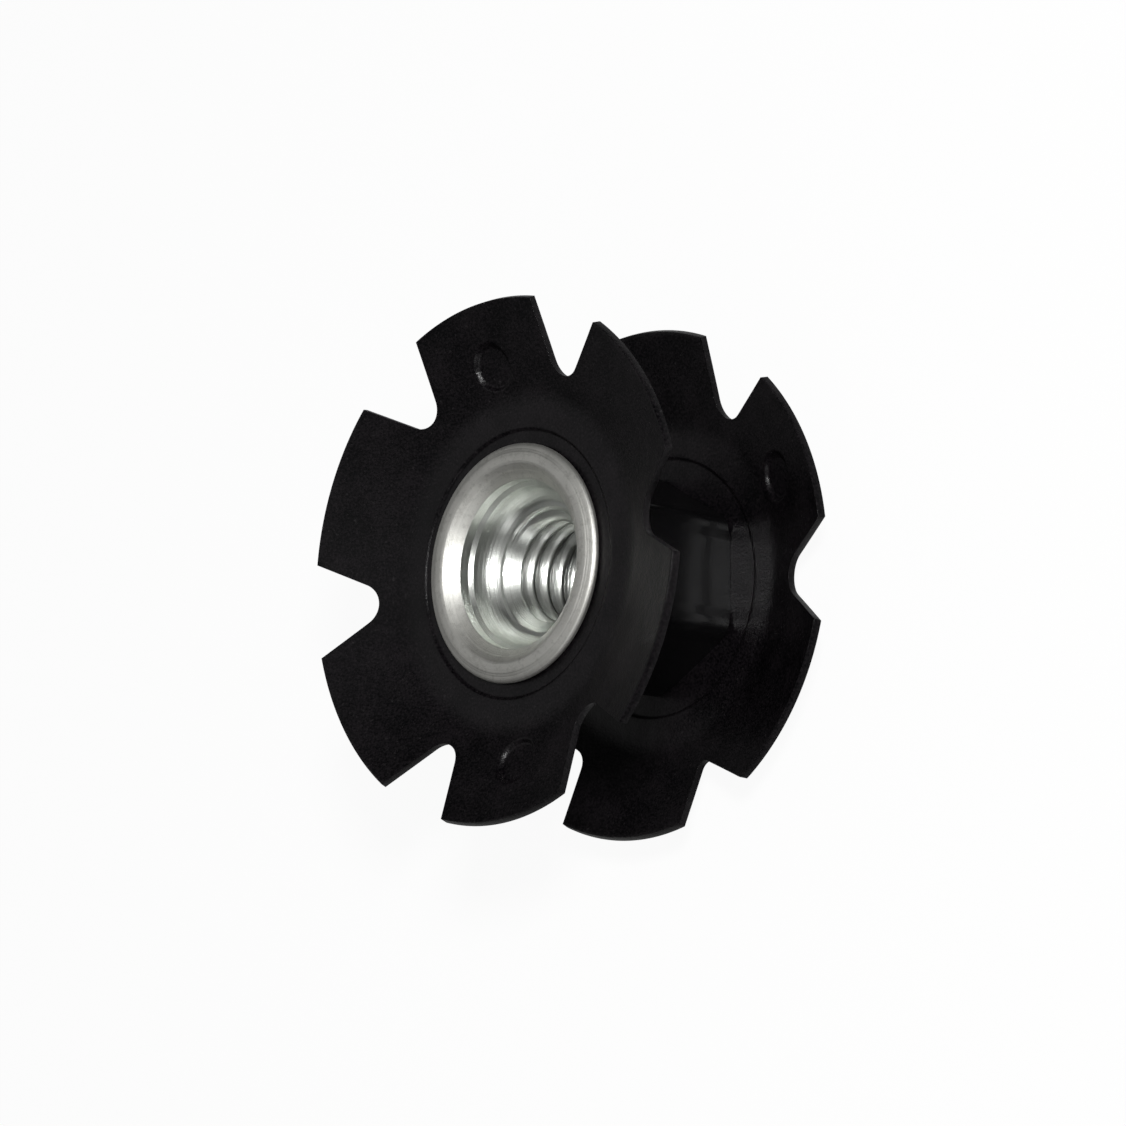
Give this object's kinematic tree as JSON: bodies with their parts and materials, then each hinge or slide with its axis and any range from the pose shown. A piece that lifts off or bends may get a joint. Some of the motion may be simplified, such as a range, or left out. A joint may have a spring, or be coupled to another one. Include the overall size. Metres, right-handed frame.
{
  "type": "star nut",
  "caption": "Headset star nut: dished star-shaped spring washers grip inside a bicycle's steerer tube, and the threaded sleeve that carries them takes the top-cap bolt.",
  "frame": {"origin": "middle of the flat lower face of the sleeve's turned head, on the nut's axis", "axes": "+Z along the nut's axis towards the flared end, where the bolt goes in and towards which the prongs lean; +X square to one flat of the hexagonal spacer"},
  "size_m": [0.0262, 0.0262, 0.0136],
  "materials": {
    "spring_steel": "black oxide spring steel, satin, with a fine grain",
    "black_steel": "black oxide turned bar, semi-gloss",
    "zinc_plate": "zinc-plated turned steel, bright, with turning marks"
  },
  "bodies": {
    "root": {"upper_star_washer": "spring_steel", "lower_star_washer": "spring_steel", "hex_spacer": "black_steel", "threaded_sleeve": "zinc_plate"}
  },
  "joints": []
}
